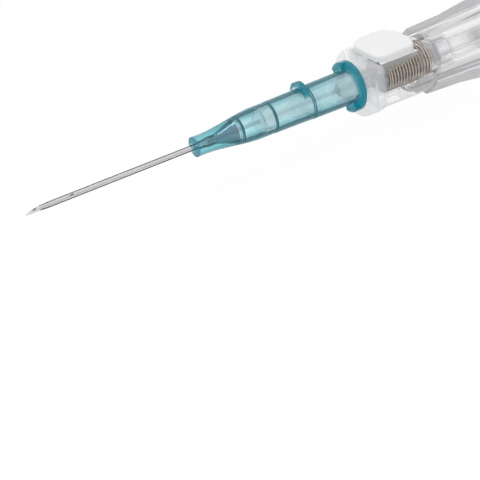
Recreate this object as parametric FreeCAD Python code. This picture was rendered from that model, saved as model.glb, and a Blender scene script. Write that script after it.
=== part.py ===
import FreeCAD, Part
import math
import os

# Push-button, spring-retracting intravenous catheter, 22 gauge by 25 mm.
# Lengths are millimetres. While a piece is modelled, x runs back from the nose face of the
# catheter hub and z runs up from the needle's axis. place() then stands the whole device
# on its underside, with the origin below the middle of its length.

# Needle
needle_r = 0.32
needle_bore_r = 0.20
needle_lead = 2.4
bevel_angle = 16.0
lancet_angle = 24.0
lancet_turn = 42.0
notch_back = 6.9
notch_length = 0.7
notch_depth = 0.20

# Catheter tube, sliding on the needle
tube_reach = 25.0
tube_gap = 0.03
tube_wall = 0.08
tip_taper = 1.4
tip_wall = 0.03
glue_gap = 0.01
flare_run = 0.7
flare_inset = 0.2

# Steel wedge that locks the tube in the hub
wedge_front = 2.1
wedge_nose = 1.4
wedge_cone = 3.4
wedge_wall = 0.10
wedge_mouth_r = 1.34

# Catheter hub, outside
nose_r = 1.53
nose_waist_x = 3.0
nose_waist_r = 1.58
nose_end_x = 6.9
nose_end_r = 2.08
body_front_x = 10.0
body_front_r = 2.42
ring_step = 0.05
first_ring_x = 12.9
first_ring_r = 2.40
second_ring_x = 19.6
second_ring_r = 2.55
hub_length = 27.8
hub_rear_r = 2.68
ring_flange_r = 3.91
ring_flange_t = 0.8
ring_fillet = 0.45
ring_bevel = 0.15
lug_length = 0.80
lug_turn = 27.0
lug_span = 46.0
lug_bevel = 0.35

# Push-off tab of the hub
tab_x = 18.2
tab_t = 0.8
tab_r = 2.08
tab_up = 1.60

# Female luer socket and the chambers in front of it
luer_mouth_r = 2.15
luer_slope = 0.03
luer_depth = 7.3
chamber_r = 1.85
septum_front = 11.1
front_chamber_r = 1.62
front_chamber_x = 7.1

# Septum and the actuator that opens it
septum_t = 1.6
septum_gap = 0.01
septum_hole_gap = 0.02
septum_dish_r = 1.15
septum_dish_depth = 0.5
septum_dish_draft = 0.25
actuator_gap = 0.25
actuator_rear_gap = 1.3
actuator_nose_r = 0.95
actuator_nose_length = 3.2
actuator_r = 1.45
actuator_bore_r = 0.72
actuator_rear_bore_r = 1.15
actuator_point_wall = 0.08
actuator_point_length = 0.5
actuator_shoulder = 0.4
actuator_bore_step = 0.6
guide_ring_x = 4.8
guide_ring_t = 0.8
guide_gap = 0.07
actuator_slot_width = 0.6
actuator_slot_front = 0.5
actuator_slot_rear = 0.9

# Grip, the clear front housing
hub_seat_gap = 0.2
boss_length = 3.4
boss_gap = 0.06
boss_bore_r = 1.50
boss_bevel = 0.3
collar_r = 5.20
collar_length = 2.6
collar_round = 0.6
grip_r = 4.93
grip_length = 11.8
deck_z = 3.60
wall_round = 0.6
pocket_front = 0.9
pocket_length = 1.1
pocket_half_height = 3.0
pocket_floor_y = 4.55
drain_front = 5.5
drain_length = 2.6
drain_half_width = 0.85

# Button with its latch plate
button_front = 2.45
button_length = 7.6
button_half_width = 4.15
button_top_z = 5.00
button_front_drop = 0.35
button_rear_drop = 0.25
button_rear_bow = 1.6
button_cap_t = 1.35
button_front_round = 2.1
button_rear_round = 2.3
button_edge_round = 0.40
button_travel = 1.4
button_gap = 0.15
button_floor_gap = 0.2
dish_radius = 24.0
dish_depth = 0.12
relief_gap = 0.12
skirt_t = 0.65
skirt_inset = 0.05
skirt_root = 0.10
skirt_length = 6.6
skirt_low_z = 1.0
skirt_rear_height = 0.25
latch_front = 2.5
latch_t = 1.0
latch_half_width = 2.6
latch_low_z = -2.3
latch_gap = 0.1
keyhole_gap = 0.10
latch_corner = 1.0

# Needle hub, which carries the needle
nose_gap = 0.20
carrier_nose_inset = 0.6
carrier_collar_r = 1.40
carrier_collar_t = 1.1
carrier_neck_r = 0.85
carrier_body_r = 2.00
carrier_gap = 0.15
carrier_flange_r = 2.90
carrier_flange_t = 0.9
socket_r = 2.15
socket_length = 2.9
socket_depth = 2.2
glue_well_r = 0.62
glue_well_depth = 1.2
glue_meniscus = 0.4
glue_skirt = 0.10
carrier_nose_bevel = 0.3
flute_depth = 0.7
flute_width = 1.1
flute_inset = 0.8

# Retraction spring, compressed
spring_r = 2.95
wire_r = 0.19
wire_sides = 6
spring_turns = 16
spring_front = 4.4
spring_length = 8.6
spring_end_gap = 0.02
spring_room = 0.25

# Flash chamber and its porous plug
flash_r = 1.48
flash_wall = 0.28
flash_length = 9.4
flash_gap = 0.02
plug_length = 1.6
plug_head = 0.7
plug_bevel = 0.2
needle_tail = 1.0

# Barrel, the clear rear shield
barrel_bore_r = 3.60
barrel_bore_rear_r = 4.60
barrel_drop = 0.30
barrel_front_half = 4.85
barrel_waist_half = 5.08
barrel_waist_x = 46.0
barrel_flare_half = 5.62
barrel_flare_x = 50.8
barrel_rear_half = 5.80
barrel_rear_x = 56.0
barrel_end_x = 112.0
facet_round = 0.45
spigot_length = 2.6
spigot_wall = 0.65
spigot_top_z = -0.9
spigot_gap = 0.05
snap_front = 0.5
snap_length = 1.3
snap_half_width = 1.3
snap_rise = 0.55
snap_gap = 0.12
snap_root = 0.2
snap_ramp_share = 0.6

# End cap
cap_t = 1.2
cap_round = 0.5
cap_spigot_length = 1.2
cap_spigot_wall = 0.8
cap_press_gap = 0.02
vent_r = 0.6

# Positions that follow from the sizes above
tube_bore_r = needle_r + tube_gap
tube_r = tube_bore_r + tube_wall
needle_tip_x = -tube_reach - needle_lead
grip_x = hub_length + hub_seat_gap
grip_end_x = grip_x + grip_length
boss_x = grip_x - boss_length
carrier_nose_x = boss_x + carrier_nose_inset
button_x = grip_x + button_front
latch_x = grip_x + latch_front
spring_x = grip_x + spring_front
flange_x = spring_x + spring_length
socket_x = flange_x + carrier_flange_t
socket_end_x = socket_x + socket_length
flash_x = socket_end_x - socket_depth
flash_end_x = flash_x + flash_length
septum_back = septum_front + septum_t
actuator_x = septum_back + actuator_gap
actuator_length = boss_x - actuator_rear_gap - actuator_x
cap_end_x = barrel_end_x + cap_t
well_low_z = skirt_low_z - button_travel - button_floor_gap
far = 30.0

X_AXIS = FreeCAD.Vector(1, 0, 0)
ORIGIN = FreeCAD.Vector(0, 0, 0)


def point(x, y, z):
    return FreeCAD.Vector(x, y, z)


def turned(profile):
    """Solid of revolution about the needle's axis, from (x, radius) corners."""
    corners = [point(x, 0, r) for x, r in profile]
    face = Part.Face(Part.makePolygon(corners + corners[:1]))
    return face.revolve(ORIGIN, X_AXIS, 360)


def rod(x0, x1, radius, z=0.0):
    return Part.makeCylinder(radius, x1 - x0, point(x0, 0, z), X_AXIS)


def block(x0, x1, y0, y1, z0, z1):
    return Part.makeBox(x1 - x0, y1 - y0, z1 - z0, point(x0, y0, z0))


def round_edges(solid, radius, picked):
    """Fillet the edges whose middle passes the test picked(middle, edge)."""
    edges = []
    for edge in solid.Edges:
        middle = edge.valueAt((edge.FirstParameter + edge.LastParameter) / 2)
        if picked(middle, edge):
            edges.append(edge)
    return solid.makeFillet(radius, edges)


def extruded_side(corners, half_width):
    """Prism across the device from (x, z) corners, centred on the needle's axis."""
    points = [point(x, -half_width, z) for x, z in corners]
    face = Part.Face(Part.makePolygon(points + points[:1]))
    return face.extrude(point(0, 2 * half_width, 0))


def make_needle():
    """Hollow needle with a bevel, two lancet grinds at its point and a flash notch."""
    back_x = flash_x + needle_tail
    needle = rod(needle_tip_x, back_x, needle_r)
    needle = needle.cut(grind(bevel_angle, -needle_r, 0.0))
    lancet_z = -needle_r * math.cos(math.radians(lancet_turn))
    for side in (-1, 1):
        needle = needle.cut(grind(lancet_angle, lancet_z, side * lancet_turn))
    needle = needle.cut(rod(needle_tip_x - 1, back_x + 1, needle_bore_r))
    notch_x = needle_tip_x + notch_back
    notch = block(notch_x, notch_x + notch_length, -far, far, needle_r - notch_depth, far)
    return needle.cut(notch)


def grind(angle, start_z, turn):
    """Wedge of metal that a grinding pass takes from above the needle's point."""
    slope = math.tan(math.radians(angle))
    reach = 6.0
    wedge = extruded_side(
        [
            (needle_tip_x - 1, start_z - slope),
            (needle_tip_x + reach, start_z + slope * reach),
            (needle_tip_x + reach, far),
            (needle_tip_x - 1, far),
        ],
        far,
    )
    wedge.rotate(point(needle_tip_x, 0, 0), X_AXIS, turn)
    return wedge


def make_catheter_tube():
    """Thin tube with a tapered tip, flared at the back over the wedge's nose."""
    flare_r = tube_bore_r + wedge_wall + 2 * glue_gap
    flare_x = wedge_front - flare_run
    end_x = wedge_front + wedge_nose - flare_inset
    return turned(
        [
            (-tube_reach, tube_bore_r),
            (-tube_reach, tube_bore_r + tip_wall),
            (tip_taper - tube_reach, tube_r),
            (flare_x, tube_r),
            (wedge_front, flare_r + tube_wall),
            (end_x, flare_r + tube_wall),
            (end_x, flare_r),
            (wedge_front, flare_r),
            (flare_x, tube_bore_r),
        ]
    )


def make_tube_wedge():
    """Steel funnel whose nose is pushed into the tube."""
    cone_x = wedge_front + wedge_nose
    end_x = cone_x + wedge_cone
    bore_r = tube_bore_r + glue_gap
    return turned(
        [
            (wedge_front, bore_r),
            (wedge_front, bore_r + wedge_wall),
            (cone_x, bore_r + wedge_wall),
            (end_x, wedge_mouth_r),
            (end_x, wedge_mouth_r - wedge_wall),
            (cone_x, bore_r),
        ]
    )


def hub_outside():
    """Revolved skin of the hub, with a curved nose, two ring steps and the rear ring."""
    nose = Part.BSplineCurve()
    nose.interpolate(
        [
            point(0, 0, nose_r),
            point(nose_waist_x, 0, nose_waist_r),
            point(nose_end_x, 0, nose_end_r),
            point(body_front_x, 0, body_front_r),
        ]
    )
    ring_x = hub_length - ring_flange_t
    corners = [
        (body_front_x, body_front_r),
        (first_ring_x - ring_step, first_ring_r),
        (first_ring_x, first_ring_r + ring_step),
        (second_ring_x - ring_step, second_ring_r),
        (second_ring_x, second_ring_r + ring_step),
        (ring_x - ring_fillet, hub_rear_r),
        (ring_x, hub_rear_r + ring_fillet),
        (ring_x, ring_flange_r - ring_bevel),
        (ring_x + ring_bevel, ring_flange_r),
        (hub_length - ring_bevel, ring_flange_r),
        (hub_length, ring_flange_r - ring_bevel),
        (hub_length, 0),
        (0, 0),
        (0, nose_r),
    ]
    edges = [nose.toShape()]
    for start, end in zip(corners, corners[1:]):
        edges.append(Part.makeLine(point(start[0], 0, start[1]), point(end[0], 0, end[1])))
    return Part.Face(Part.Wire(edges)).revolve(ORIGIN, X_AXIS, 360)


def hub_inside():
    """Everything hollow in the hub, from the tube's hole to the luer socket."""
    flare_r = tube_bore_r + wedge_wall + 2 * glue_gap + tube_wall + glue_gap
    flare_x = wedge_front - flare_run
    cone_x = wedge_front + wedge_nose
    cone_end_x = cone_x + wedge_cone
    luer_floor_x = hub_length - luer_depth
    return turned(
        [
            (-1, 0),
            (-1, tube_r + glue_gap),
            (flare_x, tube_r + glue_gap),
            (wedge_front, flare_r),
            (cone_x, flare_r),
            (cone_end_x, wedge_mouth_r + glue_gap),
            (front_chamber_x, wedge_mouth_r + glue_gap),
            (front_chamber_x, front_chamber_r),
            (septum_front, front_chamber_r),
            (septum_front, chamber_r),
            (luer_floor_x, chamber_r),
            (luer_floor_x, luer_radius(luer_floor_x)),
            (hub_length + 1, luer_radius(hub_length + 1)),
            (hub_length + 1, 0),
        ]
    )


def luer_radius(x):
    """Radius of the six per cent luer taper at x."""
    return luer_mouth_r - luer_slope * (hub_length - x)


def lug(turn):
    """Luer-lock ear: a short length of ring in front of the rear ring."""
    x0 = hub_length - ring_flange_t - lug_length
    x1 = hub_length - ring_flange_t / 2
    root_r = (luer_mouth_r + hub_rear_r) / 2
    corners = [
        (x0, root_r),
        (x0, ring_flange_r - lug_bevel),
        (x0 + lug_bevel, ring_flange_r),
        (x1, ring_flange_r),
        (x1, root_r),
    ]
    points = [point(x, 0, r) for x, r in corners]
    ear = Part.Face(Part.makePolygon(points + points[:1])).revolve(ORIGIN, X_AXIS, lug_span)
    ear.rotate(ORIGIN, X_AXIS, turn - lug_span / 2)
    return ear


def make_catheter_hub():
    """Long hub with its tab and luer-lock ears."""
    hub = hub_outside()
    hub = hub.fuse(rod(tab_x, tab_x + tab_t, tab_r, tab_up))
    for turn in (-lug_turn, 180 - lug_turn):
        hub = hub.fuse(lug(turn))
    return hub.cut(hub_inside()).removeSplitter()


def make_valve_septum():
    """Round elastic valve, dished at the back, pierced by the needle."""
    radius = chamber_r - septum_gap
    hole_r = needle_r + septum_hole_gap
    return turned(
        [
            (septum_front, hole_r),
            (septum_front, radius),
            (septum_back, radius),
            (septum_back, septum_dish_r),
            (septum_back - septum_dish_depth, septum_dish_r - septum_dish_draft),
            (septum_back - septum_dish_depth, hole_r),
        ]
    )


def make_septum_actuator():
    """Tube that a luer connector pushes forward to open the septum."""
    nose_end = actuator_x + actuator_nose_length
    ring_x = actuator_x + guide_ring_x
    ring_r = chamber_r - guide_gap
    end_x = actuator_x + actuator_length
    wide_bore_x = nose_end + actuator_bore_step
    body = turned(
        [
            (actuator_x, actuator_bore_r),
            (actuator_x, actuator_bore_r + actuator_point_wall),
            (actuator_x + actuator_point_length, actuator_nose_r),
            (nose_end, actuator_nose_r),
            (nose_end + actuator_shoulder, actuator_r),
            (ring_x, actuator_r),
            (ring_x, ring_r),
            (ring_x + guide_ring_t, ring_r),
            (ring_x + guide_ring_t, actuator_r),
            (end_x, actuator_r),
            (end_x, actuator_rear_bore_r),
            (wide_bore_x, actuator_rear_bore_r),
            (nose_end, actuator_bore_r),
        ]
    )
    slot_x = ring_x + guide_ring_t + actuator_slot_front
    slot_half = actuator_slot_width / 2
    slot = block(slot_x, end_x - actuator_slot_rear, -far, far, -slot_half, slot_half)
    return body.cut(slot)


def make_needle_adhesive():
    """Cured bead that bonds the needle in the nose of its hub."""
    well_end = carrier_nose_x + glue_well_depth
    return turned(
        [
            (carrier_nose_x - glue_meniscus, needle_r),
            (carrier_nose_x - glue_meniscus / 2, needle_r + glue_skirt),
            (carrier_nose_x, glue_well_r),
            (well_end, glue_well_r),
            (well_end, needle_r),
        ]
    )


def make_needle_hub():
    """Carrier with a latch groove, a spring flange and a socket for the flash chamber."""
    nose_r_out = boss_bore_r - nose_gap
    latch_back = latch_x + latch_t
    collar_x = latch_x - latch_gap - carrier_collar_t
    body_x = latch_back + 1.5 * latch_gap
    well_end = carrier_nose_x + glue_well_depth
    hole_r = needle_r + glue_gap
    hub = turned(
        [
            (carrier_nose_x, glue_well_r),
            (carrier_nose_x, nose_r_out - carrier_nose_bevel),
            (carrier_nose_x + carrier_nose_bevel, nose_r_out),
            (collar_x, nose_r_out),
            (collar_x, carrier_collar_r),
            (latch_x - latch_gap, carrier_collar_r),
            (latch_x - latch_gap, carrier_neck_r),
            (body_x, carrier_neck_r),
            (body_x, carrier_body_r),
            (flange_x, carrier_body_r),
            (flange_x, carrier_flange_r),
            (socket_x, carrier_flange_r),
            (socket_x, socket_r),
            (socket_end_x, socket_r),
            (socket_end_x, flash_r + flash_gap),
            (flash_x, flash_r + flash_gap),
            (flash_x, hole_r),
            (well_end, hole_r),
            (well_end, glue_well_r),
        ]
    )
    flute_half = flute_width / 2
    floor_z = carrier_body_r - flute_depth
    flutes = []
    for turn in (45, 135, 225, 315):
        flute = block(body_x + flute_inset, flange_x - flute_inset, -flute_half, flute_half, floor_z, far)
        flute.rotate(ORIGIN, X_AXIS, turn)
        flutes.append(flute)
    return hub.cut(flutes)


def make_flash_chamber():
    """Clear tube that shows the first blood."""
    tube = rod(flash_x, flash_end_x, flash_r)
    return tube.cut(rod(flash_x - 1, flash_end_x + 1, flash_r - flash_wall))


def make_flash_plug():
    """Porous plug that lets air out of the flash chamber."""
    stem_r = flash_r - flash_wall - flash_gap
    head_x = flash_end_x + plug_head
    return turned(
        [
            (flash_end_x - plug_length, 0),
            (flash_end_x - plug_length, stem_r),
            (flash_end_x, stem_r),
            (flash_end_x, flash_r),
            (head_x - plug_bevel, flash_r),
            (head_x, flash_r - plug_bevel),
            (head_x, 0),
        ]
    )


def make_retraction_spring():
    """Helical compression spring, held compressed behind the latch, its wire with few sides."""
    middle_r = spring_r - wire_r
    run = spring_length - 2 * wire_r - 2 * spring_end_gap
    helix = Part.makeHelix(run / spring_turns, run, middle_r)
    corners = []
    for step in range(wire_sides):
        angle = 2 * math.pi * (step + 0.5) / wire_sides
        corners.append(point(middle_r + wire_r * math.cos(angle), 0, wire_r * math.sin(angle)))
    section = Part.makePolygon(corners + corners[:1])
    coil = Part.Wire(helix).makePipeShell([section], True, True)
    coil.rotate(ORIGIN, point(0, 1, 0), 90)
    coil.translate(point(spring_x + spring_end_gap + wire_r, 0, 0))
    return coil


def button_cap():
    """Cap of the button: crowned along its length, bowed at the rear, with a shallow dish."""
    x0 = button_x
    x1 = button_x + button_length
    middle_x = (x0 + x1) / 2
    low_z = button_top_z - button_cap_t
    front = point(x0, 0, button_top_z - button_front_drop)
    rear = point(x1, 0, button_top_z - button_rear_drop)
    crown = Part.Arc(front, point(middle_x, 0, button_top_z), rear).toShape()
    side = closed_face(crown, [rear, point(x1, 0, low_z), point(x0, 0, low_z), front])
    cap = side.extrude(point(0, 2 * button_half_width, 0))
    cap.translate(point(0, -button_half_width, 0))

    shoulder_x = x1 - button_rear_bow
    near = point(shoulder_x, -button_half_width, low_z - 1)
    away = point(shoulder_x, button_half_width, low_z - 1)
    bow = Part.Arc(near, point(x1, 0, low_z - 1), away).toShape()
    front_line = [point(x0, button_half_width, low_z - 1), point(x0, -button_half_width, low_z - 1)]
    plan = closed_face(bow, [away] + front_line + [near])
    cap = cap.common(plan.extrude(point(0, 0, 2 * button_cap_t + 2)))

    upright = lambda edge: edge.BoundBox.ZLength > button_cap_t / 2
    cap = round_edges(cap, button_front_round, lambda middle, edge: upright(edge) and middle.x < middle_x)
    cap = round_edges(cap, button_rear_round, lambda middle, edge: upright(edge) and middle.x > middle_x)
    rim_z = button_top_z - button_front_drop - 0.1
    cap = round_edges(cap, button_edge_round, lambda middle, edge: middle.z > rim_z)
    ball_z = button_top_z - dish_depth + dish_radius
    return cap.cut(Part.makeSphere(dish_radius, point(middle_x, 0, ball_z), point(0, 1, 0)))


def closed_face(curve, points):
    """Face bounded by a curved edge and the straight run that closes it."""
    edges = [curve]
    for start, end in zip(points, points[1:]):
        edges.append(Part.makeLine(start, end))
    return Part.Face(Part.Wire(edges))


def skirt_panel():
    """Two gussets under the cap, deep at the front and swept up towards the rear."""
    x0 = button_x + button_gap
    x1 = x0 + skirt_length
    top = button_top_z - button_cap_t + skirt_root
    rear_z = top - skirt_rear_height
    sweep = Part.BezierCurve()
    sweep.setPoles(
        [
            point(x0, 0, skirt_low_z),
            point(x0 + skirt_length * 0.30, 0, skirt_low_z + 2.0),
            point(x0 + skirt_length * 0.88, 0, skirt_low_z + 0.8),
            point(x1, 0, rear_z),
        ]
    )
    corners = [point(x1, 0, rear_z), point(x1, 0, top), point(x0, 0, top), point(x0, 0, skirt_low_z)]
    outline = closed_face(sweep.toShape(), corners)
    panels = []
    for side in (-1, 1):
        panel = outline.extrude(point(0, skirt_t, 0))
        outer_y = button_half_width - skirt_inset
        panel.translate(point(0, outer_y - skirt_t if side > 0 else -outer_y, 0))
        panels.append(panel)
    return panels


def make_push_button():
    """White button: cap, gussets and the keyhole plate that holds the needle hub."""
    button = button_cap()
    relief_r = spring_r + relief_gap
    relief = rod(latch_x + latch_t, button_x + button_length + 1, relief_r, button_travel)
    button = button.cut(relief)
    latch_end_x = latch_x + latch_t
    plate_top_z = button_top_z - button_cap_t / 2
    plate = block(latch_x, latch_end_x, -latch_half_width, latch_half_width, latch_low_z, plate_top_z)
    low_corner = lambda middle, edge: middle.z < latch_low_z + 0.01 and edge.BoundBox.XLength > latch_t / 2
    plate = round_edges(plate, latch_corner, low_corner)
    open_r = carrier_collar_r + keyhole_gap
    slot_r = carrier_neck_r + keyhole_gap
    keyhole = [
        rod(latch_x - 1, latch_end_x + 1, open_r, button_travel),
        rod(latch_x - 1, latch_end_x + 1, slot_r),
        block(latch_x - 1, latch_end_x + 1, -slot_r, slot_r, 0, button_travel),
    ]
    return button.fuse(skirt_panel() + [plate.cut(keyhole)]).removeSplitter()


def grip_outside():
    """Trough, round below and straight beside the button, behind a round front collar."""
    collar = rod(grip_x, grip_x + collar_length, collar_r)
    front_rim = lambda middle, edge: edge.Closed and abs(edge.BoundBox.XMax - grip_x) < 0.01
    collar = round_edges(collar, collar_round, front_rim)
    collar = collar.cut(block(grip_x - 1, grip_end_x, -far, far, deck_z, far))
    return collar.fuse(trough(grip_x + collar_length / 2, grip_end_x)).removeSplitter()


def trough(x0, x1):
    """Half round below, with straight walls up to the deck and rounded upper corners."""
    brow_z = deck_z - wall_round
    brow_y = grip_r - wall_round
    slant = wall_round * (1 - math.cos(math.pi / 4))
    edges = [
        Part.Arc(point(x0, -grip_r, 0), point(x0, 0, -grip_r), point(x0, grip_r, 0)).toShape(),
        Part.makeLine(point(x0, grip_r, 0), point(x0, grip_r, brow_z)),
        Part.Arc(
            point(x0, grip_r, brow_z), point(x0, grip_r - slant, deck_z - slant), point(x0, brow_y, deck_z)
        ).toShape(),
        Part.makeLine(point(x0, brow_y, deck_z), point(x0, -brow_y, deck_z)),
        Part.Arc(
            point(x0, -brow_y, deck_z), point(x0, slant - grip_r, deck_z - slant), point(x0, -grip_r, brow_z)
        ).toShape(),
        Part.makeLine(point(x0, -grip_r, brow_z), point(x0, -grip_r, 0)),
    ]
    return Part.Face(Part.Wire(edges)).extrude(point(x1 - x0, 0, 0))


def make_grip():
    """Clear housing with the luer boss, latch slot, button well and spring chamber."""
    grip = grip_outside()
    boss = turned(
        [
            (boss_x, 0),
            (boss_x, luer_radius(boss_x) - boss_gap - boss_bevel / 2),
            (boss_x + boss_bevel, luer_radius(boss_x) - boss_gap),
            (grip_x, luer_radius(hub_length) - boss_gap),
            (grip_x + 1, luer_radius(hub_length) - boss_gap),
            (grip_x + 1, 0),
        ]
    )
    grip = grip.fuse(boss)
    well_x = button_x - button_gap
    well_end = button_x + button_length + button_gap
    well_half = button_half_width + button_gap
    latch_low = latch_low_z - button_travel - button_floor_gap
    slot_half = latch_half_width + button_gap
    chamber = spring_r + spring_room
    ring_x = latch_x + latch_t + latch_gap
    cuts = [
        rod(boss_x - 1, latch_x, boss_bore_r),
        block(latch_x - latch_gap, ring_x, -slot_half, slot_half, latch_low, far),
        block(well_x, well_end, -well_half, well_half, well_low_z, far),
        rod(spring_x, grip_end_x + 1, chamber),
        rod(ring_x - latch_gap, spring_x + latch_gap, carrier_body_r + carrier_gap),
    ]
    cuts.append(spigot_room())
    cuts.append(snap_body(snap_gap))
    drain_x = grip_x + drain_front
    drain = block(drain_x, drain_x + drain_length, -drain_half_width, drain_half_width, -far, 0)
    upright = lambda middle, edge: edge.BoundBox.ZLength > far / 2
    cuts.append(round_edges(drain, drain_half_width * 0.96, upright))
    for side in (-1, 1):
        outer = side * far
        inner = side * pocket_floor_y
        pocket_x = grip_x + pocket_front
        cuts.append(
            block(
                pocket_x,
                pocket_x + pocket_length,
                min(inner, outer),
                max(inner, outer),
                -pocket_half_height,
                pocket_half_height,
            )
        )
    grip = grip.cut(cuts)
    spring_seat = rod(ring_x, spring_x, spring_r)
    spring_seat = spring_seat.cut(rod(ring_x - 1, spring_x + 1, carrier_body_r + carrier_gap))
    return grip.fuse(spring_seat).removeSplitter()


def spigot_ring(grow):
    """Lower part of a ring at the barrel's front, grown by a clearance."""
    outer = barrel_bore_r + spigot_wall + grow
    ring = rod(grip_end_x - spigot_length - grow, grip_end_x, outer)
    return ring.cut(block(-far, far * 3, -far, far, spigot_top_z + grow, far))


def spigot_room():
    return spigot_ring(spigot_gap)


def snap_body(grow):
    """Catch under the barrel's spigot, ramped at the front."""
    x0 = grip_end_x - spigot_length + snap_front
    x1 = x0 + snap_length
    root = barrel_bore_r + spigot_wall - snap_root
    tip = barrel_bore_r + spigot_wall + snap_rise
    if grow > 0:
        return block(x0 - grow, x1 + grow, -snap_half_width - grow, snap_half_width + grow, -far, -root)
    crest_x = x0 + snap_length * snap_ramp_share
    ramp = [(x0, -root), (x0, -root - snap_root), (crest_x, -tip), (x1, -tip), (x1, -root)]
    return extruded_side(ramp, snap_half_width)


def facet_ring(x, half):
    """Octagon with rounded corners, square to the needle's axis and centred just below it."""
    sides = 8
    half_turn = math.pi / sides
    reach = half / math.cos(half_turn)
    inset = facet_round / math.cos(half_turn) - facet_round
    edges = []
    corners = []
    run = (half - facet_round) * math.tan(half_turn)
    for step in range(sides):
        angle = (2 * step + 1) * half_turn
        before = facet_point(x, half, angle - half_turn, run)
        after = facet_point(x, half, angle + half_turn, -run)
        crown_r = reach - inset
        crown = point(x, crown_r * math.sin(angle), crown_r * math.cos(angle) - barrel_drop)
        corners.append((before, crown, after))
    for step in range(sides):
        before, crown, after = corners[step]
        edges.append(Part.Arc(before, crown, after).toShape())
        edges.append(Part.makeLine(after, corners[(step + 1) % sides][0]))
    return Part.Wire(edges)


def facet_point(x, half, normal_angle, along):
    """Point on a flat of the octagon, at a distance along it from its middle."""
    y = half * math.sin(normal_angle) + along * math.cos(normal_angle)
    z = half * math.cos(normal_angle) - along * math.sin(normal_angle) - barrel_drop
    return point(x, y, z)


def make_barrel():
    """Eight-sided clear shield that the needle hub is drawn back into."""
    stations = [
        (grip_end_x, barrel_front_half),
        (barrel_waist_x, barrel_waist_half),
        (barrel_flare_x, barrel_flare_half),
        (barrel_rear_x, barrel_rear_half),
        (barrel_end_x, barrel_rear_half),
    ]
    rings = [facet_ring(x, half) for x, half in stations]
    barrel = Part.makeLoft(rings, True, True)
    barrel = barrel.fuse([spigot_ring(0.0), snap_body(0.0)])
    front_x = grip_end_x - spigot_length - 1
    bore = turned(
        [
            (front_x, 0),
            (front_x, barrel_bore_r),
            (grip_end_x, barrel_bore_r),
            (barrel_end_x, barrel_bore_rear_r),
            (barrel_end_x, 0),
        ]
    )
    return barrel.cut(bore).removeSplitter()


def make_end_cap():
    """Pressed-in cap with a vent, which stops the needle hub."""
    plate = facet_prism(barrel_end_x, cap_end_x, barrel_rear_half)
    spigot_r = barrel_bore_rear_r - cap_press_gap
    draft = (barrel_bore_rear_r - barrel_bore_r) / (barrel_end_x - grip_end_x)
    front_x = barrel_end_x - cap_spigot_length
    front_r = spigot_r - draft * cap_spigot_length
    spigot = turned(
        [
            (front_x, front_r - cap_spigot_wall),
            (front_x, front_r),
            (barrel_end_x, spigot_r),
            (barrel_end_x, front_r - cap_spigot_wall),
        ]
    )
    cap = plate.fuse(spigot).removeSplitter()
    return cap.cut(rod(barrel_end_x - 1, cap_end_x + 1, vent_r))


def facet_prism(x0, x1, half):
    """Octagonal plate with its rear edge chamfered."""
    rings = [facet_ring(x0, half), facet_ring(x1 - cap_round, half), facet_ring(x1, half - cap_round)]
    return Part.makeLoft(rings, True, True)


def place(solid):
    """Stand the device on its underside, with the origin below mid length."""
    middle_x = (needle_tip_x + cap_end_x) / 2
    solid.translate(point(-middle_x, 0, barrel_rear_half + barrel_drop))
    return solid


PIECES = {
    "needle": make_needle,
    "needle_adhesive": make_needle_adhesive,
    "needle_hub": make_needle_hub,
    "flash_chamber": make_flash_chamber,
    "flash_plug": make_flash_plug,
    "retraction_spring": make_retraction_spring,
    "catheter_tube": make_catheter_tube,
    "tube_wedge": make_tube_wedge,
    "catheter_hub": make_catheter_hub,
    "valve_septum": make_valve_septum,
    "septum_actuator": make_septum_actuator,
    "push_button": make_push_button,
    "grip": make_grip,
    "barrel": make_barrel,
    "end_cap": make_end_cap,
}

os.makedirs("parts", exist_ok=True)
for name, make in PIECES.items():
    solid = place(make())
    solid.exportStep(os.path.join("parts", name + ".step"))
    print(name, "valid" if solid.isValid() else "INVALID", len(solid.Solids), round(solid.Volume, 3))
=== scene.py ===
import math

import bpy
import numpy as np
from mathutils import Matrix, Vector


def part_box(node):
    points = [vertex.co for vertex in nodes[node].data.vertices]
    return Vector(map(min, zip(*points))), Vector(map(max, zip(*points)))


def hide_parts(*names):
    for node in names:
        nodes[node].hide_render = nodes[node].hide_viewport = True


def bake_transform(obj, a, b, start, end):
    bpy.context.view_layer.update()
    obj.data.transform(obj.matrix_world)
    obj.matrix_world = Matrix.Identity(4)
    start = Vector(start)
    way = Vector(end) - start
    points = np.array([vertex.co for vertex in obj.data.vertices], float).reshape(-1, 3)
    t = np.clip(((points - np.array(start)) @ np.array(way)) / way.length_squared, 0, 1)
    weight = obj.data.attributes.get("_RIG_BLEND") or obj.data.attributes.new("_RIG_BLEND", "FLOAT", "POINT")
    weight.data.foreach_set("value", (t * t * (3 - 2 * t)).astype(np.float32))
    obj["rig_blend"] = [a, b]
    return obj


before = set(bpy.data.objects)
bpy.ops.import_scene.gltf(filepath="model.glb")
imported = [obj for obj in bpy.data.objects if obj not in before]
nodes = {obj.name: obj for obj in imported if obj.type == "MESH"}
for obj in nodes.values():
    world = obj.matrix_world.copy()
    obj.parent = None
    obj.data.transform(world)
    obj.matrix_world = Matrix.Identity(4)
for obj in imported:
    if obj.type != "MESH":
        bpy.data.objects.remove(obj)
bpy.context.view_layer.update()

MM = 0.001

# Camera. The point that it aims at lies on the needle's axis, inside the catheter hub
CAMERA_AZIMUTH = math.radians(-28.797)
CAMERA_ELEVATION = math.radians(29.667)
CAMERA_ROLL = math.radians(-7.712)
CAMERA_DISTANCE = 281.94 * MM
CAMERA_LENS = 144.86
CAMERA_NEAR_LIMIT = 10.0 * MM
SENSOR_WIDTH = 36.0
AIM_FROM_NEEDLE_TIP = 42.4 * MM
AIM_PIXEL = (281.1, 112.9)
PHOTO_SIZE = 480

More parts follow.
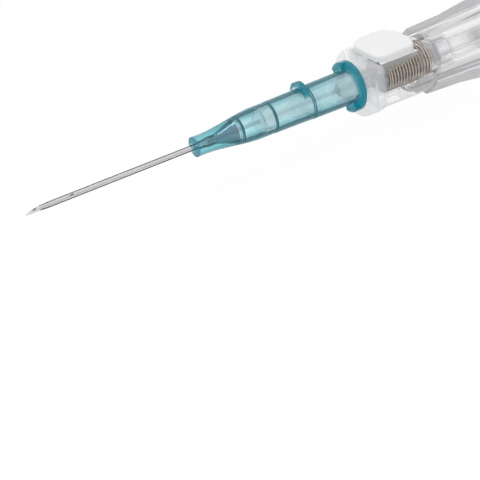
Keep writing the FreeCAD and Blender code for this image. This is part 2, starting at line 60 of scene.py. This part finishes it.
# World. The grey bands set in with the sideways part of a direction, the white top with its upward part
WORLD_LEVEL = 0.85
GREY_BAND = 0.78
BAND_SIDEWAYS = (0.55, 0.90)
TOP_UPWARDS = (0.35, 0.75)

# Floor and lamps
FLOOR_SIZE = 3.0
FLOOR_DROP = 0.1 * MM
FLOOR_WHITE = 0.75
FLOOR_MOTTLE = 0.005
FLOOR_GLOW_SHARE = 0.975
GLOSS_GLOW = 0.3
LAMP_TARGET_X = -20.0 * MM

# All materials. Nearly all of a noise lies in its range
WHITE = (1.0, 1.0, 1.0, 1.0)
NOISE_RANGE = (0.3, 0.7)

# Clear plastics. The shades are shares of a material's own roughness and milk
CLEAR_GREY = (0.95, 0.955, 0.965)
MILK_WHITE = (0.93, 0.935, 0.95)
MILK_SHADES = (0.8, 1.2)
ROUGHNESS_SHADES = (0.7, 1.3)
FLOW_HEIGHT = 0.004 * MM
FINE_HEIGHT = 0.001 * MM
EDGE_BLEND = 0.35
EDGE_POWER = 2.4
GLOSS_INDEX = 1.45
HAZE_THROUGH = 0.5
# Share of the haze that is painted light, a glow in its own colour
HAZE_PAINTED_LIGHT = 0.40
DENSITY_MARGIN = 1.05
JOINT_REACH = 0.01 * MM

# Spark-eroded front of the grip. It fades out across its end
MATT_MILK = 0.34
MATT_ROUGHNESS = 0.22
MATT_FADE = (-0.2 * MM, 0.1 * MM)

# Heavy places of the catheter hub, and painted shade at its ring steps for the dark lines that refraction
# shows there. From one step shade level to the other the teal turns to its painted shade
HEAVY_SHARE = 0.85
HEAVY_RADIUS = (2.70 * MM, 3.00 * MM)
HEAVY_FACE = (0.02 * MM, 0.25 * MM)
HEAVY_STREAKS = (0.35, 0.65)
HEAVY_SHADES = (0.72, 1.05)
RING_STEPS = (7.35 * MM, 12.9 * MM, 19.6 * MM)
RING_FADE = (0.07 * MM, 0.14 * MM)
# Level of the ring steps' mask, above the step shade levels, so that the steps take painted shade
RING_LEVEL = 1.2
STEP_SHADE_LEVELS = (0.9, 1.1)
STEP_PAINTED_SHADE = 0.35

# White button. The clear share of its walls is given far below the cap and right under it
BUTTON_CAP = 1.35 * MM
CLOUD_SHADE = 0.965
GRAIN_HEIGHT = 0.006 * MM
GRAIN_ROUGHNESS = 0.06
THIN_WALL_CLEAR = (1.0, 0.70)
THIN_WALL_FADE = 3.0 * MM
THIN_WALL_TINT = (0.93, 0.92, 0.91)

# Steel. The shades are shares of its own roughness
STEEL_DULL = 0.86
STEEL_SHADES = (0.7, 1.4)
# Painted shade between a coil's turns and on their inner side, for the shadow that falls there
PAINTED_GAP_SHADE = (0.012, 0.008, 0.006)

# Porous plug. A pore is deepest from this share of a cell away from a grain's middle, and painted shade
# darkens it there
PORE_START = 0.6
PORE_DEPTH = 0.05 * MM
PORE_PAINTED_SHADE = 0.70

# Spring wire, set against the imported spring's box. The painted shade between its turns fades between depths
# given in wire radii, inwards from its outside
WIRE_RADIUS = 0.19 * MM
WIRE_SHADE_DEPTHS = (0.36, 0.08)
SPRING_TURNS = 16
WIRE_SIDES = 12
STEPS_PER_TURN = 40
CLOSED_TURNS = 1.5

# Sockets of a Mix node for numbers and for colours: first value, second value, result
MIX_SOCKETS = {"FLOAT": (2, 3, 0), "RGBA": (6, 7, 2)}


def axis_height():
    """Height of the needle's axis above the floor."""
    low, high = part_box("needle")
    return (low.z + high.z) / 2


def add_object(name, data):
    """New object in the scene that shows this mesh, camera or lamp."""
    made = bpy.data.objects.new(name, data)
    bpy.context.scene.collection.objects.link(made)
    return made


def add_camera():
    """Camera at the photograph's angle, rolled a little, with its frame held by one aimed point."""
    azimuth, elevation, roll = CAMERA_AZIMUTH, CAMERA_ELEVATION, CAMERA_ROLL
    flat = math.cos(elevation)
    back = Vector((math.sin(azimuth) * flat, -math.cos(azimuth) * flat, math.sin(elevation)))
    level_right = Vector((math.cos(azimuth), math.sin(azimuth), 0))
    level_up = back.cross(level_right)
    right = math.cos(roll) * level_right + math.sin(roll) * level_up
    up = math.cos(roll) * level_up - math.sin(roll) * level_right
    focal_pixels = CAMERA_LENS / SENSOR_WIDTH * PHOTO_SIZE
    across = (AIM_PIXEL[0] - PHOTO_SIZE / 2) / focal_pixels
    down = (AIM_PIXEL[1] - PHOTO_SIZE / 2) / focal_pixels
    aim = Vector((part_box("needle")[0].x + AIM_FROM_NEEDLE_TIP, 0, axis_height()))
    place = aim - CAMERA_DISTANCE * (across * right - down * up - back)
    data = bpy.data.cameras.new("camera")
    data.lens = CAMERA_LENS
    data.sensor_width = SENSOR_WIDTH
    data.clip_start = CAMERA_NEAR_LIMIT
    camera = add_object("camera", data)
    turn = Matrix((right, up, back)).transposed().to_4x4()
    camera.matrix_world = Matrix.Translation(place) @ turn
    bpy.context.scene.camera = camera


class Graph:
    """Node graph of one material or world, with short calls to add and join nodes."""

    def __init__(self, tree):
        self.tree = tree
        tree.nodes.clear()

    def add(self, kind, settings=None, **inputs):
        """New node. An input's name is written with underscores for its spaces."""
        node = self.tree.nodes.new(kind)
        for name, value in (settings or {}).items():
            setattr(node, name, value)
        for name, value in inputs.items():
            self.put(node.inputs[name.replace("_", " ")], value)
        return node

    def put(self, socket, value):
        """Joins a socket to another one or to a node's first output, or gives it a plain value."""
        if isinstance(value, bpy.types.Node):
            value = value.outputs[0]
        if isinstance(value, bpy.types.NodeSocket):
            self.tree.links.new(value, socket)
        else:
            socket.default_value = value

    def math(self, operation, first, second=0.0):
        node = self.add("ShaderNodeMath", {"operation": operation})
        self.put(node.inputs[0], first)
        self.put(node.inputs[1], second)
        return node.outputs[0]

    def span(self, value, low, high, to_low, to_high):
        """Value between low and high, carried over to the range from to_low to to_high."""
        node = self.add(
            "ShaderNodeMapRange", Value=value, From_Min=low, From_Max=high, To_Min=to_low, To_Max=to_high,
        )
        return node.outputs["Result"]

    def vary(self, noise, low, high):
        """Noise spread out to go from low to high."""
        return self.span(noise, *NOISE_RANGE, low, high)

    def mix(self, kind, share, first, second):
        """Mix of two numbers, kind FLOAT, or of two colours, kind RGBA."""
        node = self.add("ShaderNodeMix", {"data_type": kind}, Factor=share)
        first_input, second_input, result = MIX_SOCKETS[kind]
        self.put(node.inputs[first_input], first)
        self.put(node.inputs[second_input], second)
        return node.outputs[result]

    def mix_shader(self, share, first, second):
        node = self.add("ShaderNodeMixShader")
        for socket, value in zip(node.inputs, (share, first, second)):
            self.put(socket, value)
        return node.outputs[0]

    def place(self, stretch=(1.0, 1.0, 1.0)):
        """Object coordinates, stretched. The object's own unit is the metre."""
        source = self.add("ShaderNodeTexCoord").outputs["Object"]
        return self.add("ShaderNodeMapping", Vector=source, Scale=stretch).outputs["Vector"]

    def parts(self, vector):
        """X, Y and Z of a vector."""
        return self.add("ShaderNodeSeparateXYZ", Vector=vector).outputs

    def noise(self, stretch, detail):
        node = self.add("ShaderNodeTexNoise", Vector=self.place(stretch), Scale=1.0, Detail=detail)
        return node.outputs["Fac"]

    def bump(self, height, distance, under=None):
        """Normal of a surface raised by distance where height is 1, on top of the normal under it."""
        node = self.add("ShaderNodeBump", Height=height, Distance=distance)
        if under is not None:
            self.put(node.inputs["Normal"], under)
        return node.outputs["Normal"]


def new_material(name):
    material = bpy.data.materials.new(name)
    material.use_nodes = True
    return material, Graph(material.node_tree)


def finish_material(graph, shader, volume=None):
    output = graph.add("ShaderNodeOutputMaterial", Surface=shader)
    if volume is not None:
        graph.put(output.inputs["Volume"], volume)


def opaque(color, shade=1.0):
    """Colour with full alpha, darkened to a share of itself."""
    return (*(shade * part for part in color), 1.0)


def per_mm(along, across=None):
    """Texture scale for so many cells to each millimetre along X and, where it differs, across it."""
    if across is None:
        across = along
    return (along / MM, across / MM, across / MM)


def see_through(graph, tint, depth, bend, straight, rough, normal):
    """Light that goes through: unbent and tinted in a thin skin, partly bent in a wall with depth."""
    if depth == 0:
        return graph.add("ShaderNodeBsdfTransparent", Color=opaque(tint))
    bent = graph.add("ShaderNodeBsdfRefraction", Color=WHITE, Roughness=rough, Normal=normal, IOR=bend)
    return graph.mix_shader(straight, bent, graph.add("ShaderNodeBsdfTransparent"))


def haze(graph, tone, normal):
    """Cloudy plastic, lit from both sides, with painted light: a glow in its own colour in place of light
    that the scene doesn't bring inside it.
    """
    near = graph.add("ShaderNodeBsdfDiffuse", Color=tone, Normal=normal)
    far = graph.add("ShaderNodeBsdfTranslucent", Color=tone, Normal=normal)
    # Painted light: the haze glows though it is no lamp
    glow = graph.add("ShaderNodeEmission", Color=tone)
    return graph.mix_shader(HAZE_PAINTED_LIGHT, graph.mix_shader(HAZE_THROUGH, near, far), glow)


def gloss_share(graph, normal, inner_gloss):
    """Share of gloss by angle. Inner faces have none unless asked: walls behind walls stay light."""
    fresnel = graph.add("ShaderNodeFresnel", IOR=GLOSS_INDEX, Normal=normal)
    if inner_gloss:
        return fresnel
    outside = graph.math("SUBTRACT", 1.0, graph.add("ShaderNodeNewGeometry").outputs["Backfacing"])
    return graph.math("MULTIPLY", fresnel, outside)


def absorption(graph, tint, depth):
    """Volume that leaves tint of white light behind a thickness of depth.

    The density has a margin over the greatest loss, which keeps each part of the colour above zero.
    """
    losses = [-math.log(part) / depth for part in tint]
    density = DENSITY_MARGIN * max(losses)
    kept = opaque([1 - loss / density for loss in losses])
    return graph.add("ShaderNodeVolumeAbsorption", Color=kept, Density=density)


def clear_plastic(
    name, tint, roughness, milk, cloud=MILK_WHITE, flow=FLOW_HEIGHT, depth=0, bend=1.0,
    straight=1.0, matt_front=None, joint_x=None, thick=None, inner_gloss=False,
):
    """Clear moulding with flow lines in it, glossy, and cloudy towards its edges.

    tint is what is left of white light behind a thickness of depth, or behind each surface where
    depth is 0. bend is the refractive index for the bent light, and straight the share of light
    that isn't bent. milk is the cloudy share seen square on and at the edges, cloud its colour, and
    flow the height of the flow lines. matt_front is the X up to which the surface is spark-eroded.
    joint_x is the X of a face that lies flat against a neighbour, where nothing shows. thick makes
    the mask of the places where the moulding is heavy enough to look solid, with the share there;
    where the mask passes the step shade levels the cloud turns to painted shade.
    inner_gloss is for gloss on inner faces as well.
    """
    material, graph = new_material(name)
    streaks = graph.noise(per_mm(0.05, 0.9), detail=2.0)
    fine = graph.noise(per_mm(3.0), detail=3.0)
    normal = graph.bump(fine, FINE_HEIGHT, under=graph.bump(streaks, flow))
    rough = graph.vary(fine, *(roughness * shade for shade in ROUGHNESS_SHADES))
    edge = graph.add("ShaderNodeLayerWeight", Blend=EDGE_BLEND, Normal=normal).outputs["Facing"]
    share = graph.span(graph.math("POWER", edge, EDGE_POWER), 0.0, 1.0, *milk)
    share = graph.math("MULTIPLY", share, graph.vary(streaks, *MILK_SHADES))
    place = graph.parts(graph.place())
    if matt_front is not None:
        matt = graph.span(place["X"], *(matt_front + fade for fade in MATT_FADE), 1.0, 0.0)
        share = graph.math("MAXIMUM", share, graph.math("MULTIPLY", matt, MATT_MILK))
        rough = graph.math("MAXIMUM", rough, graph.math("MULTIPLY", matt, MATT_ROUGHNESS))
    tone = opaque(cloud)
    if thick is not None:
        heavy = thick(graph, place)
        shades = graph.span(streaks, *HEAVY_STREAKS, *HEAVY_SHADES)
        share = graph.math("MAXIMUM", share, graph.math("MULTIPLY", heavy, shades))
        # Painted shade where the mask is highest, at the hub's ring steps, for the dark lines of refraction
        step_shade = graph.span(heavy, *STEP_SHADE_LEVELS, 0.0, 1.0)
        tone = graph.mix("RGBA", step_shade, tone, opaque(cloud, STEP_PAINTED_SHADE))
    through = see_through(graph, tint, depth, bend, straight, rough, normal)
    shader = graph.mix_shader(share, through, haze(graph, tone, normal))
    gloss = graph.add("ShaderNodeBsdfGlossy", Color=WHITE, Roughness=rough, Normal=normal)
    shader = graph.mix_shader(gloss_share(graph, normal, inner_gloss), shader, gloss)
    if joint_x is not None:
        apart = graph.math("ABSOLUTE", graph.math("SUBTRACT", place["X"], joint_x))
        hidden = graph.math("LESS_THAN", apart, JOINT_REACH)
        shader = graph.mix_shader(hidden, shader, graph.add("ShaderNodeBsdfTransparent"))
    volume = absorption(graph, tint, depth) if depth > 0 else None
    finish_material(graph, shader, volume)
    return material


def radius_from_axis(graph, place):
    """Distance of the shaded point from the needle's axis."""
    height = graph.math("SUBTRACT", place["Z"], axis_height())
    flat = graph.math("MULTIPLY", place["Y"], place["Y"])
    return graph.math("SQRT", graph.math("ADD", flat, graph.math("MULTIPLY", height, height)))


def heavy_hub(graph, place):
    """Where the hub's teal looks solid: nose face, tab, rear ring with its ears, and the ring steps, which
    rise past the step shade levels and take painted shade.
    """
    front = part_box("catheter_hub")[0].x
    outer = graph.span(radius_from_axis(graph, place), *HEAVY_RADIUS, 0.0, HEAVY_SHARE)
    face = graph.span(place["X"], *(front + depth for depth in HEAVY_FACE), HEAVY_SHARE, 0.0)
    heavy = graph.math("MAXIMUM", outer, face)
    # The ring steps' lines reach past the step shade levels: painted shade for the dark lines of refraction
    for step in RING_STEPS:
        apart = graph.math("ABSOLUTE", graph.math("SUBTRACT", place["X"], front + step))
        line = graph.span(apart, *RING_FADE, RING_LEVEL, 0.0)
        heavy = graph.math("MAXIMUM", heavy, line)
    return heavy


def white_plastic(name, color, roughness, thin_below):
    """White moulding with a fine spark-eroded grain. Below the height thin_below light comes through."""
    material, graph = new_material(name)
    cloud = graph.noise(per_mm(0.35), detail=2.0)
    grain = graph.noise(per_mm(9.0), detail=2.0)
    solid = graph.add(
        "ShaderNodeBsdfPrincipled",
        Base_Color=graph.mix("RGBA", cloud, opaque(color, CLOUD_SHADE), opaque(color)),
        Roughness=graph.vary(grain, roughness - GRAIN_ROUGHNESS, roughness + GRAIN_ROUGHNESS),
        Normal=graph.bump(grain, GRAIN_HEIGHT),
        Subsurface_Weight=0.15,
        Subsurface_Radius=(0.9 * MM, 0.8 * MM, 0.7 * MM),
        Subsurface_Scale=1.0,
        IOR=1.49,
    )
    height = graph.parts(graph.place())["Z"]
    skirt = graph.span(height, thin_below - THIN_WALL_FADE, thin_below, *THIN_WALL_CLEAR)
    thin = graph.math("MULTIPLY", skirt, graph.math("LESS_THAN", height, thin_below))
    clear = graph.add("ShaderNodeBsdfTransparent", Color=opaque(THIN_WALL_TINT))
    finish_material(graph, graph.mix_shader(thin, solid, clear))
    return material


def steel(name, color, roughness, lines, height, gap_shade_radii=None):
    """Drawn or ground steel, with fine lines along its length.

    lines is how many lie to each millimetre, along and across, and height how deep they are.
    gap_shade_radii is for a coil: painted shade, for the shadow between its turns, is full up to the
    first radius, and the wire has its own colour from the second.
    """
    material, graph = new_material(name)
    drawn = graph.noise(per_mm(*lines), detail=1.0)
    cloud = graph.noise(per_mm(0.4, 1.0), detail=1.0)
    tone = graph.mix("RGBA", cloud, opaque(color, STEEL_DULL), opaque(color))
    # Painted shade: the wire darkens towards the coil's axis, for the shadow between its turns
    if gap_shade_radii is not None:
        outer = graph.span(radius_from_axis(graph, graph.parts(graph.place())), *gap_shade_radii, 0.0, 1.0)
        tone = graph.mix("RGBA", outer, opaque(PAINTED_GAP_SHADE), tone)
    shader = graph.add(
        "ShaderNodeBsdfPrincipled",
        Base_Color=tone,
        Metallic=1.0,
        Roughness=graph.vary(drawn, *(roughness * shade for shade in STEEL_SHADES)),
        Normal=graph.bump(drawn, height),
    )
    finish_material(graph, shader)
    return material


def porous_plastic(name, color):
    """Sintered plug: matt white grains with open pores between them, darkened with painted shade."""
    material, graph = new_material(name)
    cells = graph.add("ShaderNodeTexVoronoi", Vector=graph.place(per_mm(7.0)), Scale=1.0)
    depth = graph.span(cells.outputs["Distance"], 0.0, PORE_START, 0.0, 1.0)
    shader = graph.add(
        "ShaderNodeBsdfPrincipled",
        # Painted shade in the pores, for the shade that falls in the recesses
        Base_Color=graph.mix("RGBA", depth, opaque(color), opaque(color, PORE_PAINTED_SHADE)),
        Roughness=0.85,
        Normal=graph.bump(depth, -PORE_DEPTH),
    )
    finish_material(graph, shader)
    return material


def dress_nodes():
    """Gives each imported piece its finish."""
    button_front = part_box("push_button")[0].x
    cap_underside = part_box("push_button")[1].z - BUTTON_CAP
    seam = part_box("grip")[1].x
    looks = {
        "needle": steel(
            "needle_steel", color=(0.76, 0.76, 0.77), roughness=0.14, lines=(0.05, 6.0),
            height=0.0003 * MM,
        ),
        "needle_adhesive": clear_plastic(
            "adhesive_resin", tint=(0.95, 0.93, 0.88), roughness=0.05, milk=(0.05, 0.3),
        ),
        "needle_hub": clear_plastic(
            "carrier_clear", tint=CLEAR_GREY, roughness=0.02, milk=(0.04, 0.8), depth=2.0 * MM,
            bend=1.35, straight=0.3,
        ),
        "flash_chamber": clear_plastic(
            "chamber_clear", tint=CLEAR_GREY, roughness=0.02, milk=(0.0, 0.6), flow=0.001 * MM,
            depth=2.0 * MM, bend=1.35, straight=0.4,
        ),
        "flash_plug": porous_plastic("plug_porous", color=(0.90, 0.90, 0.89)),
        "catheter_tube": clear_plastic(
            "tube_translucent", tint=(0.97, 0.97, 0.975), roughness=0.10, milk=(0.0, 0.12),
            cloud=(0.80, 0.80, 0.81), flow=0.0, inner_gloss=True,
        ),
        "tube_wedge": steel(
            "wedge_steel", color=(0.34, 0.37, 0.42), roughness=0.14, lines=(0.2, 3.0),
            height=0.0003 * MM,
        ),
        "catheter_hub": clear_plastic(
            "hub_teal", tint=(0.52, 0.80, 0.84), roughness=0.003, milk=(0.0, 1.5),
            cloud=(0.0, 0.30, 0.40), flow=0.012 * MM, depth=1.2 * MM, bend=1.30, straight=0.25,
            thick=heavy_hub,
        ),
        "valve_septum": clear_plastic(
            "septum_silicone", tint=(0.94, 0.95, 0.95), roughness=0.3, milk=(0.35, 0.9),
        ),
        "septum_actuator": clear_plastic(
            "actuator_white", tint=(0.95, 0.96, 0.96), roughness=0.1, milk=(0.25, 1.0),
        ),
        "push_button": white_plastic(
            "button_white", color=(0.80, 0.80, 0.805), roughness=0.42, thin_below=cap_underside,
        ),
        "grip": clear_plastic(
            "grip_clear", tint=CLEAR_GREY, roughness=0.015, milk=(0.0, 0.5), flow=0.002 * MM,
            depth=4.0 * MM, bend=1.25, straight=0.9, matt_front=button_front, joint_x=seam,
        ),
        "barrel": clear_plastic(
            "barrel_clear", tint=CLEAR_GREY, roughness=0.02, milk=(0.03, 0.7), depth=4.0 * MM,
            bend=1.30, straight=0.4, joint_x=seam,
        ),
        "end_cap": clear_plastic(
            "cap_clear", tint=CLEAR_GREY, roughness=0.05, milk=(0.05, 0.6), depth=4.0 * MM,
            bend=1.12, straight=0.5,
        ),
    }
    for name, material in looks.items():
        mesh = nodes[name].data
        for index in range(max(1, len(mesh.materials))):
            if index < len(mesh.materials):
                mesh.materials[index] = material
            else:
                mesh.materials.append(material)


def tube_mesh(name, centres, radius, sides):
    """Mesh tube with its round ends closed flat, along a list of points."""
    rows = len(centres)
    tangents = np.gradient(centres, axis=0)
    tangents /= np.linalg.norm(tangents, axis=1)[:, None]
    outward = centres * np.array([0.0, 1.0, 1.0])
    outward -= (outward * tangents).sum(1)[:, None] * tangents
    outward /= np.linalg.norm(outward, axis=1)[:, None]
    side = np.cross(tangents, outward)
    angles = np.linspace(0, 2 * math.pi, sides, endpoint=False)[None, :, None]
    ring = np.cos(angles) * outward[:, None, :] + np.sin(angles) * side[:, None, :]
    verts = (centres[:, None, :] + radius * ring).reshape(-1, 3)
    faces = []
    for row in range(rows - 1):
        first, behind = row * sides, (row + 1) * sides
        for step in range(sides):
            after = (step + 1) % sides
            faces.append((first + step, first + after, behind + after, behind + step))
    faces.append(tuple(reversed(range(sides))))
    faces.append(tuple(range((rows - 1) * sides, rows * sides)))
    mesh = bpy.data.meshes.new(name)
    mesh.from_pydata(verts.tolist(), [], faces)
    mesh.validate()
    mesh.polygons.foreach_set("use_smooth", [len(face.vertices) == 4 for face in mesh.polygons])
    return mesh


def spring_centres():
    """Points down the middle of the wire: closed turns at both ends and even turns between."""
    low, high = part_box("retraction_spring")
    middle_radius = (high.y - low.y) / 2 - WIRE_RADIUS
    start, end = low.x + WIRE_RADIUS, high.x - WIRE_RADIUS
    turns = np.linspace(0, SPRING_TURNS, SPRING_TURNS * STEPS_PER_TURN + 1)
    closed_rise = CLOSED_TURNS * 2 * WIRE_RADIUS
    marks = [0, CLOSED_TURNS, SPRING_TURNS - CLOSED_TURNS, SPRING_TURNS]
    along = np.interp(turns, marks, [start, start + closed_rise, end - closed_rise, end])
    angle = 2 * math.pi * turns
    around = np.stack([along, middle_radius * np.cos(angle), middle_radius * np.sin(angle)], axis=1)
    return around, turns


def add_spring():
    """Coil of round wire that stretches between the grip and the needle hub."""
    centres, turns = spring_centres()
    mesh = tube_mesh("spring_coil", centres, WIRE_RADIUS, WIRE_SIDES)
    mesh.transform(Matrix.Translation((0, 0, axis_height())))
    low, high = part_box("retraction_spring")
    outside = (high.y - low.y) / 2
    # Radii of the painted shade between the turns
    gap_shade_radii = [outside - gap * WIRE_RADIUS for gap in WIRE_SHADE_DEPTHS]
    wire = steel(
        "spring_wire", color=(0.74, 0.60, 0.47), roughness=0.16, lines=(2.0, 6.0), height=0.001 * MM,
        gap_shade_radii=gap_shade_radii,
    )
    mesh.materials.append(wire)
    coil = add_object("spring_coil", mesh)
    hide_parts("retraction_spring")
    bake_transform(coil, "handle", "carrier", start=(low.x, 0, axis_height()), end=(high.x, 0, axis_height()))
    # Each ring of the wire moves as one, so the wire stays round where the coil opens
    share = np.interp(turns, [CLOSED_TURNS, SPRING_TURNS - CLOSED_TURNS], [0.0, 1.0])
    rings = np.repeat(share, WIRE_SIDES).astype(np.float32)
    mesh.attributes["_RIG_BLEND"].data.foreach_set("value", rings)


def add_world():
    """White to the camera. To gloss and clear plastic, a white room with soft grey bands."""
    world = bpy.data.worlds.new("studio")
    world.use_nodes = True
    bpy.context.scene.world = world
    graph = Graph(world.node_tree)
    paths = graph.add("ShaderNodeLightPath").outputs
    direction = graph.parts(graph.add("ShaderNodeTexCoord").outputs["Generated"])
    band = graph.span(graph.math("ABSOLUTE", direction["Y"]), *BAND_SIDEWAYS, 1.0, GREY_BAND)
    top = graph.span(direction["Z"], *TOP_UPWARDS, 0.0, 1.0)
    studio = graph.math("MAXIMUM", band, top)
    mirrored = graph.math("MAXIMUM", paths["Is Glossy Ray"], paths["Is Transmission Ray"])
    level = graph.mix("FLOAT", mirrored, WORLD_LEVEL, studio)
    seen = graph.mix("FLOAT", paths["Is Camera Ray"], level, 1.0)
    light = graph.add("ShaderNodeBackground", Color=WHITE, Strength=seen)
    graph.add("ShaderNodeOutputWorld", Surface=light)


def add_floor():
    """Plain pale floor that keeps the object's shadow and is white to the camera."""
    material, graph = new_material("floor_white")
    paths = graph.add("ShaderNodeLightPath").outputs
    paper = graph.noise(per_mm(0.02), detail=2.0)
    tones = [opaque((white, white, white)) for white in (FLOOR_WHITE - FLOOR_MOTTLE, FLOOR_WHITE)]
    matt = graph.add("ShaderNodeBsdfDiffuse", Color=graph.mix("RGBA", paper, *tones))
    glow = graph.add("ShaderNodeEmission", Color=WHITE, Strength=1.0)
    seen = graph.math("MAXIMUM", paths["Is Camera Ray"], paths["Is Transmission Ray"])
    seen = graph.math("MAXIMUM", seen, graph.math("MULTIPLY", paths["Is Glossy Ray"], GLOSS_GLOW))
    share = graph.math("MULTIPLY", seen, FLOOR_GLOW_SHARE)
    finish_material(graph, graph.mix_shader(share, matt, glow))
    half = FLOOR_SIZE / 2
    corners = [(-half, -half, 0), (half, -half, 0), (half, half, 0), (-half, half, 0)]
    mesh = bpy.data.meshes.new("floor")
    mesh.from_pydata(corners, [], [(0, 1, 2, 3)])
    mesh.materials.append(material)
    floor = add_object("floor", mesh)
    floor.location.z = -FLOOR_DROP


def add_lamp(name, place, size, power):
    """Square soft lamp that faces the middle of the object."""
    data = bpy.data.lights.new(name, "AREA")
    data.shape = "SQUARE"
    data.size = size
    data.energy = power
    lamp = add_object(name, data)
    lamp.location = place
    target = Vector((LAMP_TARGET_X, 0, axis_height()))
    lamp.rotation_euler = (target - Vector(place)).to_track_quat("-Z", "Y").to_euler()


add_camera()
add_world()
add_floor()
add_lamp("key_lamp", place=(-0.12, 0.26, 0.60), size=0.14, power=1.0)
add_lamp("fill_lamp", place=(-0.30, -0.35, 0.45), size=0.08, power=0.25)
dress_nodes()
add_spring()
bpy.context.scene.view_settings.view_transform = "Standard"
